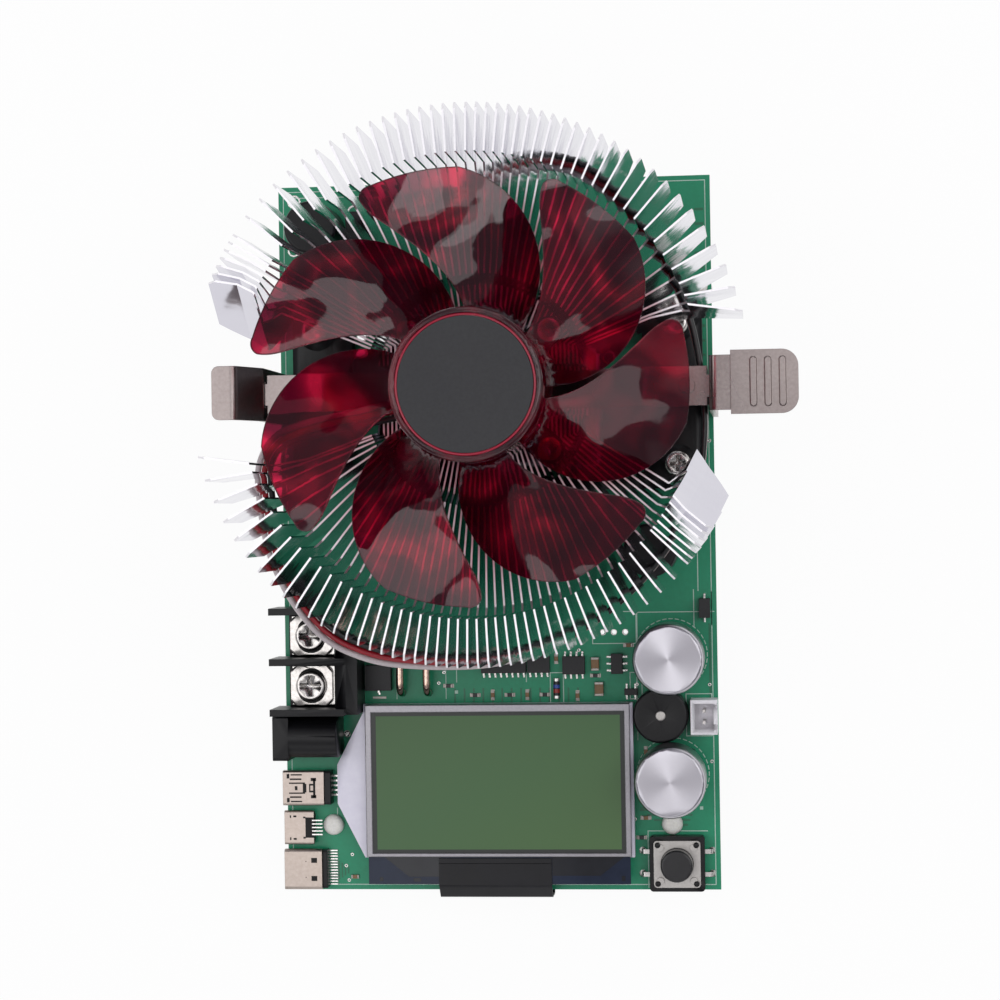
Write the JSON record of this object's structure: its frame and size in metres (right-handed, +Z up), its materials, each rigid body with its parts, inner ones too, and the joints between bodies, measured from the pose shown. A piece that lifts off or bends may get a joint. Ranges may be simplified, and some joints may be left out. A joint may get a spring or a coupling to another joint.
{
  "type": "dc electronic load",
  "caption": "Bench electronic load: a flat board on posts with a round finned fan cooler, a small display, a screw terminal, side sockets and two adjusting knobs.",
  "frame": {"origin": "middle of the whole outline in X and Y, on the surface that the four posts stand on", "axes": "+Z up, away from the surface, along the fan's axis; +Y along the board's long side, from the display end to the cooler end; +X to the right when the display is read"},
  "size_m": [0.121, 0.1654, 0.0718],
  "materials": {
    "solder_mask_green": "satin solder mask over laminate",
    "white_nylon": "matt",
    "black_moulding": "fine matt",
    "zinc_steel": "bright zinc plate",
    "fin_aluminium": "bright rolled sheet",
    "base_aluminium": "milled",
    "nickel_spring_steel": "nickel plate",
    "black_epoxy": "moulded",
    "tinned_copper": "solder tinned",
    "red_clear_plastic": "clear, polished",
    "hub_label_black": "printed film",
    "electrical_steel": "oiled laminations",
    "enamelled_copper": "enamelled wire",
    "oil_bronze": "sintered",
    "ferrite_magnet": "bonded ferrite",
    "wire_black": "PVC",
    "wire_red": "PVC",
    "wire_white": "PVC",
    "foam_tape": "foam",
    "light_guide_white": "diffusing",
    "lcd_glass": "polished, polarised",
    "bezel_black": "black lacquer",
    "flex_black": "film",
    "socket_white": "moulded nylon",
    "knob_aluminium": "turned and anodised",
    "pot_green": "moulded",
    "button_black": "moulded"
  },
  "bodies": {
    "load_board": {"circuit_board": "solder_mask_green", "board_posts": "white_nylon", "post_screws": "white_nylon", "retention_frame": "black_moulding", "frame_screws": "zinc_steel", "power_transistors": "black_epoxy", "heatsink_base": "base_aluminium", "heatsink_fins": "fin_aluminium", "clip_strap": "nickel_spring_steel", "fan_bracket": "black_moulding", "bracket_screws": "zinc_steel", "bearing_sleeve": "oil_bronze", "motor_board": "solder_mask_green", "stator_core": "electrical_steel", "stator_coils": "enamelled_copper", "fan_lead_black": "wire_black", "fan_lead_red": "wire_red", "fan_lead_white": "wire_white", "display_pads": "foam_tape", "display_backlight": "light_guide_white", "display_glass": "lcd_glass", "display_bezel": "bezel_black", "display_flex": "flex_black", "flex_connector": "black_moulding", "terminal_block": "black_moulding", "terminal_contacts": "tinned_copper", "power_socket": "black_moulding", "power_contacts": "tinned_copper", "mini_socket_shell": "nickel_spring_steel", "micro_socket_shell": "nickel_spring_steel", "type_c_socket_shell": "nickel_spring_steel", "socket_tongues": "black_moulding", "switch_base": "black_moulding", "switch_cover": "zinc_steel", "switch_leads": "tinned_copper", "potentiometers": "pot_green", "buzzer": "black_moulding", "sensor_socket": "socket_white", "sensor_pins": "tinned_copper", "capacitors": "black_moulding", "sensing_bridges": "tinned_copper", "chip_bodies": "black_epoxy", "chip_leads": "tinned_copper"},
    "fan_rotor": {"fan_impeller": "red_clear_plastic", "hub_disc": "hub_label_black", "rotor_cup": "electrical_steel", "rotor_magnet": "ferrite_magnet", "fan_shaft": "zinc_steel"},
    "coarse_control": {"coarse_knob": "knob_aluminium", "coarse_shaft": "base_aluminium"},
    "fine_control": {"fine_knob": "knob_aluminium", "fine_shaft": "base_aluminium"},
    "mode_key": {"mode_button": "button_black"},
    "clip_lever": {"clip_lever": "nickel_spring_steel"},
    "clip_hook": {"left_clip_hook": "nickel_spring_steel"},
    "clamp_positive": {"clamp_plate_positive": "zinc_steel"},
    "clamp_negative": {"clamp_plate_negative": "zinc_steel"},
    "screw_positive": {"terminal_screw_positive": "zinc_steel"},
    "screw_negative": {"terminal_screw_negative": "zinc_steel"}
  },
  "joints": [
    {"name": "fan_spin", "type": "hinge", "parent": "load_board", "child": "fan_rotor", "pos_m": [-0.0046, 0.0269, 0.0596], "axis": [0, 0, 1], "continuous": true},
    {"name": "coarse_turn", "type": "hinge", "parent": "load_board", "child": "coarse_control", "pos_m": [0.0324, -0.0301, 0.0196], "axis": [0, 0, 1], "range_deg": [-150, 150]},
    {"name": "fine_turn", "type": "hinge", "parent": "load_board", "child": "fine_control", "pos_m": [0.0324, -0.0562, 0.0196], "axis": [0, 0, 1], "range_deg": [-150, 150]},
    {"name": "mode_press", "type": "slide", "parent": "load_board", "child": "mode_key", "axis": [0, 0, -1], "range_m": [0, 0.00035], "stiffness_N_per_m": 1500, "springref_m": -0.0006},
    {"name": "lever_swing", "type": "hinge", "parent": "load_board", "child": "clip_lever", "pos_m": [0.043, 0.0274, 0.0366], "axis": [0, -1, 0], "range_deg": [0, 12]},
    {"name": "hook_swing", "type": "hinge", "parent": "load_board", "child": "clip_hook", "pos_m": [-0.0522, 0.0274, 0.0366], "axis": [0, 1, 0], "range_deg": [0, 12]},
    {"name": "clamp_lift_positive", "type": "slide", "parent": "load_board", "child": "clamp_positive", "axis": [0, 0, 1], "range_m": [0, 0.00117]},
    {"name": "screw_turn_positive", "type": "hinge", "parent": "clamp_positive", "child": "screw_positive", "pos_m": [-0.0463, -0.0247, 0.0176], "axis": [0, 0, 1], "range_deg": [0, 600]},
    {"name": "clamp_lift_negative", "type": "slide", "parent": "load_board", "child": "clamp_negative", "axis": [0, 0, 1], "range_m": [0, 0.00117]},
    {"name": "screw_turn_negative", "type": "hinge", "parent": "clamp_negative", "child": "screw_negative", "pos_m": [-0.0463, -0.0357, 0.0176], "axis": [0, 0, 1], "range_deg": [0, 600]}
  ],
  "couplings": [
    {"joint": "screw_turn_positive", "follows": "clamp_lift_positive", "rad_per_m": 8976},
    {"joint": "screw_turn_negative", "follows": "clamp_lift_negative", "rad_per_m": 8976}
  ]
}
